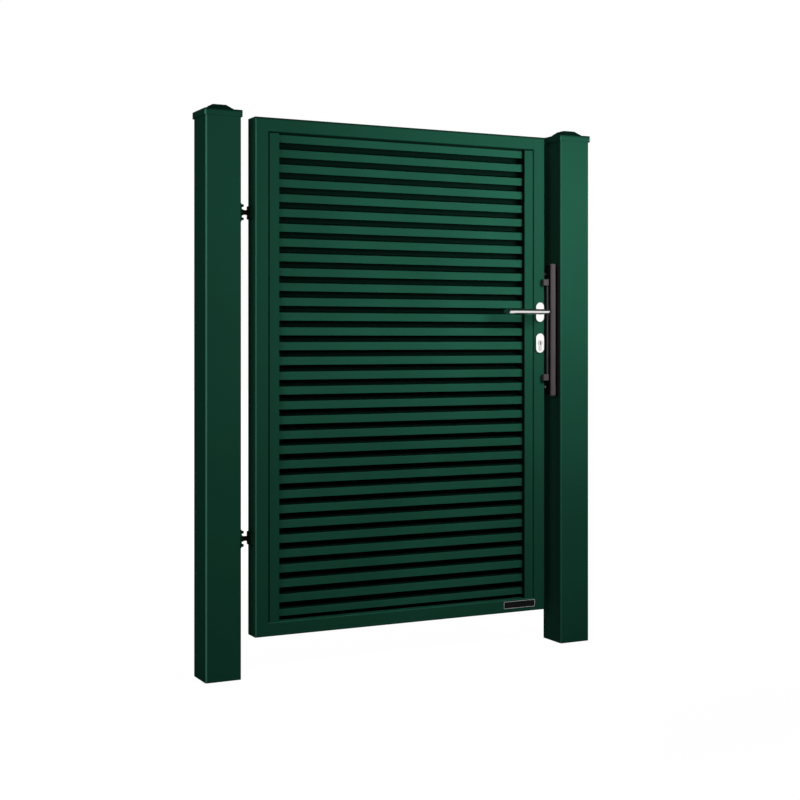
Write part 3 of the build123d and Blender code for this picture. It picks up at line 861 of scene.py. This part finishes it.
class GATE_OT_thread_studs(Operator):
    """Winds a thread on each hinge stud"""

    bl_idname = "gate.thread_studs"
    bl_label = "Thread Hinge Studs"

    def execute(self, context):
        screw = context.scene.gate.screw
        points = []
        # Both hinges are alike, so one thread length serves both
        for (eye_low, eye_high), (pin_low, pin_high) in zip(HINGE_EYES, HINGE_PINS):
            axis = (pin_low + pin_high) / 2
            start = axis.x + screw.stud_start
            length = eye_high.x - screw.hinge_plate - start
            points.append((start, axis.y, (eye_low.z + eye_high.z) / 2))
        helper = points_object("stud_points", points, [TO_LOCK] * len(points))
        core = screw.stud / 2 - screw.thread_sunk
        mesh = thread_tree(material_named("satin_black_coat")).plain_mesh(
            helper, Length=length, Pitch=screw.thread_pitch, Core_Radius=core, Height=screw.thread_height,
        )
        add_piece("hinge_stud_threads", mesh, "leaf")
        return {"FINISHED"}


class GATE_OT_finish_lock(Operator):
    """Finishes the bare steel of the lock and of the levers' spindle"""

    bl_idname = "gate.finish_lock"
    bl_label = "Finish Lock"

    def execute(self, context):
        metal = context.scene.gate.metal
        steel = brushed_metal("turned_steel", metal.steel, metal.steel_roughness, GRAIN_ALONG_Y)
        paint_nodes(STEEL_NODES, steel)
        return {"FINISHED"}


class GATE_OT_fit_screws(Operator):
    """Sets the screw heads on the hinge plates, the keep and the lock's edge plate"""

    bl_idname = "gate.fit_screws"
    bl_label = "Fit Screws"

    def execute(self, context):
        screw = context.scene.gate.screw
        points = []
        for low, high in HINGE_EYES:
            inset = screw.hinge_inset
            face = high.x - screw.hinge_plate
            middle = (low.y + high.y) / 2
            points += [(face, middle, z) for z in (low.z + inset, high.z - inset)]
        add_screws(
            "hinge_plate_screws", points, TO_HINGES, screw.hinge_head, screw.hinge_head_height,
            "satin_black_coat", "leaf",
        )
        back = KEEP_HIGH.y - screw.keep_back
        ends = (KEEP_LOW.z + screw.keep_inset, KEEP_HIGH.z - screw.keep_inset)
        add_screws(
            "keep_screws", [(KEEP_LOW.x, back, z) for z in ends], TO_HINGES,
            screw.keep_head, screw.keep_head_height, "turned_steel", "posts",
        )
        middle = (EDGE_PLATE_LOW.y + EDGE_PLATE_HIGH.y) / 2
        ends = (EDGE_PLATE_LOW.z + screw.edge_inset, EDGE_PLATE_HIGH.z - screw.edge_inset)
        add_screws(
            "edge_plate_screws", [(EDGE_PLATE_HIGH.x, middle, z) for z in ends], TO_LOCK,
            screw.edge_head, screw.edge_head_height, "turned_steel", "leaf",
        )
        return {"FINISHED"}


class GATE_OT_finish_handle_set(Operator):
    """Finishes the levers and roses in satin metal"""

    bl_idname = "gate.finish_handle_set"
    bl_label = "Finish Handle Set"

    def execute(self, context):
        metal = context.scene.gate.metal
        lever = brushed_metal("satin_lever_metal", metal.lever, metal.lever_roughness, GRAIN_ALONG_X)
        paint_nodes(LEVER_NODES, lever)
        rose = brushed_metal("bright_rose_metal", metal.rose, metal.rose_roughness, GRAIN_ALONG_Z)
        paint_nodes(ROSE_NODES, rose)
        return {"FINISHED"}


class GATE_OT_mark_keyways(Operator):
    """Sets a black sheet of painted shade, shaped as a key slot, on each end of the lock cylinder"""

    bl_idname = "gate.mark_keyways"
    bl_label = "Mark Keyways"

    def execute(self, context):
        keyway = context.scene.gate.keyway
        centre_x = (CYLINDER_LOW.x + CYLINDER_HIGH.x) / 2
        centre_z = CYLINDER_HIGH.z - keyway.drop
        outline = rounded_outline(keyway.width, keyway.height, keyway.corner)
        front = (CYLINDER_LOW.y, CYLINDER_LOW.y - keyway.proud)
        back = (CYLINDER_HIGH.y, CYLINDER_HIGH.y + keyway.proud)
        for name, depths in (("front_keyway", front), ("back_keyway", back)):
            rings = [[(centre_x + x, y, centre_z + z) for x, z in outline] for y in depths]
            mesh = shell_mesh(name, rings, material_named("satin_black_coat"))
            add_piece(name, mesh, "leaf")
        return {"FINISHED"}


class GATE_OT_finish_keep(Operator):
    """Finishes the keep's black plate and its grey stop, whose side towards the leaf gets painted shade"""

    bl_idname = "gate.finish_keep"
    bl_label = "Finish Keep"

    def execute(self, context):
        gate = context.scene.gate
        paint_nodes(("keep_base",), material_named("satin_black_coat"))
        paint_nodes(("keep_stop_bar",), shaded_stop_bar_grey(gate.metal.stop, STOP_LOW.x, gate.coat.black))
        paint_nodes(("keep_buffer",), stop_grey("warm_grey_buffer", gate.metal.stop).material)
        return {"FINISHED"}


class GATE_OT_fix_plate(Operator):
    """Fixes the bare black plate with its pale border on the bottom rail"""

    bl_idname = "gate.fix_plate"
    bl_label = "Fix Bare Plate"

    def execute(self, context):
        plate = context.scene.gate.plate
        centre_x = STILE_HIGH.x - plate.from_lock - plate.width / 2
        centre_z = (RAIL_LOW.z + RAIL_HIGH.z) / 2 + plate.lift
        face = RAIL_LOW.y
        front = face - plate.thickness
        edge = plate.edge

        def ring(trim, y):
            corner = max(plate.corner - trim, edge)
            outline = rounded_outline(plate.width - 2 * trim, plate.height - 2 * trim, corner)
            return [(centre_x + x, y, centre_z + z) for x, z in outline]

        rings = [ring(0.0, face), ring(0.0, front + edge), ring(edge, front)]
        mesh = shell_mesh("bare_plate", rings, material_named("satin_black_coat"))
        add_piece("bare_plate", mesh, "leaf")
        outer = plate.line_inset
        inner = outer + plate.line
        proud = front - plate.line_height
        rings = [ring(outer, front), ring(outer, proud), ring(inner, proud), ring(inner, front)]
        mesh = shell_mesh("bare_plate_border", rings, line_paint(plate.line_colour), closed_core=True)
        add_piece("bare_plate_border", mesh, "leaf")
        return {"FINISHED"}


def seen_by(nodes, links, kinds):
    """One where a ray is of one of these kinds, or else zero."""
    path = nodes.new("ShaderNodeLightPath")
    total = path.outputs[kinds[0]]
    for kind in kinds[1:]:
        total = larger(nodes, links, total, path.outputs[kind])
    return total


def level_way(nodes, links, place, centre):
    """The level direction from a centre to a place."""
    outward = vector_math(nodes, links, "SUBTRACT", place, centre)["Vector"]
    flat = vector_math(nodes, links, "MULTIPLY", outward, (1.0, 1.0, 0.0))["Vector"]
    return vector_math(nodes, links, "NORMALIZE", flat)["Vector"]


def mirrored_boards(nodes, links, way, stage):
    """What metal mirrors one way: a white board before the gate, another behind it, or dim walls."""
    shades = []
    for board in (FRONT_BOARD, BACK_BOARD):
        near = vector_math(nodes, links, "DOT_PRODUCT", way, board.toward)["Value"]
        spans = (board.start, board.full, stage.mirrored, stage.board_white)
        shades.append(map_range(nodes, links, near, spans))
    return larger(nodes, links, *shades)


def floor_finish(stage, centre):
    """The floor's finish: white with a soft shadow near the gate, while metal mirrors the boards in it."""
    material = bpy.data.materials.new("pale_floor")
    material.use_nodes = True
    nodes, links = material.node_tree.nodes, material.node_tree.links
    nodes.clear()
    bounce = nodes.new("ShaderNodeBsdfDiffuse")
    bounce.inputs["Color"].default_value = (stage.floor_shade,) * 3 + (1.0,)
    pale = nodes.new("ShaderNodeBsdfDiffuse")
    pale.inputs["Color"].default_value = PALE_FLOOR
    white = nodes.new("ShaderNodeEmission")
    place = nodes.new("ShaderNodeTexCoord").outputs["Object"]
    boards = mirrored_boards(nodes, links, level_way(nodes, links, place, centre), stage)
    plain = nodes.new("ShaderNodeMix")
    plain.inputs["B"].default_value = stage.floor_white
    links.new(seen_by(nodes, links, STRAIGHT_RAYS), plain.inputs["Factor"])
    links.new(boards, plain.inputs["A"])
    links.new(plain.outputs["Result"], white.inputs["Strength"])
    away = vector_math(nodes, links, "DISTANCE", place, centre)["Value"]
    glow = map_range(nodes, links, away, (SHADOW_NEAR, SHADOW_FAR, stage.floor_glow, 1.0))
    shown = nodes.new("ShaderNodeMixShader")
    links.new(glow, shown.inputs["Fac"])
    links.new(pale.outputs["BSDF"], shown.inputs[1])
    links.new(white.outputs["Emission"], shown.inputs[2])
    either = nodes.new("ShaderNodeMixShader")
    links.new(seen_by(nodes, links, SEEN_RAYS), either.inputs["Fac"])
    links.new(bounce.outputs["BSDF"], either.inputs[1])
    links.new(shown.outputs["Shader"], either.inputs[2])
    links.new(either.outputs["Shader"], nodes.new("ShaderNodeOutputMaterial").inputs["Surface"])
    return material


def lay_floor(stage):
    """The pale floor, with its middle under the gate's."""
    half = stage.floor_size / 2
    middle = (CAD_BOX[0] + CAD_BOX[1]) / 2
    sides = ((-1, -1), (1, -1), (1, 1), (-1, 1))
    corners = [(middle.x + x * half, middle.y + y * half, 0.0) for x, y in sides]
    mesh = bpy.data.meshes.new("floor")
    mesh.from_pydata(corners, [], [(0, 1, 2, 3)])
    mesh.materials.append(floor_finish(stage, (middle.x, middle.y, 0.0)))
    floor = bpy.data.objects.new("floor", mesh)
    bpy.context.scene.collection.objects.link(floor)


def hang_lamp(plan, power):
    """A soft rectangular lamp that faces a point and isn't seen itself."""
    lamp = bpy.data.lights.new(plan.name, "AREA")
    lamp.shape = "RECTANGLE"
    lamp.energy = power
    lamp.size = plan.width
    lamp.size_y = plan.height
    holder = bpy.data.objects.new(plan.name, lamp)
    holder.location = plan.place
    holder.rotation_euler = (Vector(plan.aim) - Vector(plan.place)).to_track_quat("-Z", "Y").to_euler()
    holder.visible_camera = False
    holder.visible_glossy = False
    bpy.context.scene.collection.objects.link(holder)


def hang_lamps(stage):
    """The main lamp before the lock side, a softer one on the hinge side, one overhead and one behind."""
    hang_lamp(KEY_LAMP, stage.key_power)
    hang_lamp(SIDE_LAMP, stage.side_power)
    hang_lamp(TOP_LAMP, stage.top_power)
    hang_lamp(BACK_LAMP, stage.back_power)


def light_world(stage):
    """A little light from all round, a white background and what metal mirrors."""
    world = bpy.data.worlds.new("studio")
    world.use_nodes = True
    nodes, links = world.node_tree.nodes, world.node_tree.links
    nodes.clear()
    fill = nodes.new("ShaderNodeBackground")
    fill.inputs["Strength"].default_value = stage.fill
    white = nodes.new("ShaderNodeBackground")
    for light in (fill, white):
        light.inputs["Color"].default_value = (1.0, 1.0, 1.0, 1.0)
    way = nodes.new("ShaderNodeTexCoord").outputs["Generated"]
    parts = nodes.new("ShaderNodeSeparateXYZ")
    links.new(way, parts.inputs["Vector"])
    spans = (stage.board_top, stage.board_top - BOARD_FADE, 0.0, 1.0)
    low = map_range(nodes, links, parts.outputs["Z"], spans)
    level = level_way(nodes, links, way, (0.0, 0.0, 0.0))
    boards = nodes.new("ShaderNodeMix")
    boards.inputs["A"].default_value = stage.mirrored
    links.new(low, boards.inputs["Factor"])
    links.new(mirrored_boards(nodes, links, level, stage), boards.inputs["B"])
    straight = seen_by(nodes, links, STRAIGHT_RAYS)
    shown = larger(nodes, links, straight, boards.outputs["Result"])
    links.new(shown, white.inputs["Strength"])
    either = nodes.new("ShaderNodeMixShader")
    links.new(seen_by(nodes, links, SEEN_RAYS), either.inputs["Fac"])
    links.new(fill.outputs["Background"], either.inputs[1])
    links.new(white.outputs["Background"], either.inputs[2])
    links.new(either.outputs["Shader"], nodes.new("ShaderNodeOutputWorld").inputs["Surface"])
    bpy.context.scene.world = world


def stand_camera(stage):
    """A level camera that sees the gate from the hinge side's front."""
    camera = bpy.data.cameras.new("camera")
    camera.sensor_fit = "HORIZONTAL"
    camera.lens = stage.focal
    camera.shift_y = -stage.horizon
    camera.clip_end = stage.camera_reach
    holder = bpy.data.objects.new("camera", camera)
    holder.location = stage.camera_place
    holder.rotation_euler = (math.pi / 2, 0.0, -stage.turn)
    bpy.context.scene.collection.objects.link(holder)
    bpy.context.scene.camera = holder


class GATE_OT_set_stage(Operator):
    """Lays the pale floor, hangs the lamps and stands the camera"""

    bl_idname = "gate.set_stage"
    bl_label = "Set Stage"

    def execute(self, context):
        stage = context.scene.gate.stage
        lay_floor(stage)
        hang_lamps(stage)
        light_world(stage)
        stand_camera(stage)
        context.scene.view_settings.view_transform = "Standard"
        return {"FINISHED"}


STEPS = (
    GATE_OT_coat_steelwork, GATE_OT_close_groove, GATE_OT_finish_hinges, GATE_OT_thread_studs,
    GATE_OT_finish_lock, GATE_OT_fit_screws, GATE_OT_finish_handle_set, GATE_OT_mark_keyways,
    GATE_OT_finish_keep, GATE_OT_fix_plate, GATE_OT_set_stage,
)


class VIEW3D_PT_gate(Panel):
    """Lists the steps that dress the gate"""

    bl_label = "Louvred Gate"
    bl_space_type = "VIEW_3D"
    bl_region_type = "UI"
    bl_category = "Gate"

    def draw(self, context):
        for step in STEPS:
            self.layout.operator(step.bl_idname)


CLASSES = (
    CoatSettings, MetalSettings, ScrewSettings, GrooveSettings, KeywaySettings, PlateSettings,
    StageSettings, GateSettings, *STEPS, VIEW3D_PT_gate,
)


def register():
    """Makes the settings, steps and panel known."""
    for kind in CLASSES:
        bpy.utils.register_class(kind)
    bpy.types.Scene.gate = PointerProperty(type=GateSettings)


def unregister():
    """Takes the settings, steps and panel away again."""
    del bpy.types.Scene.gate
    for kind in reversed(CLASSES):
        bpy.utils.unregister_class(kind)


def main():
    """Dresses the gate step by step."""
    register()
    for step in STEPS:
        group, name = step.bl_idname.split(".")
        getattr(getattr(bpy.ops, group), name)()


if __name__ == "__main__":
    main()
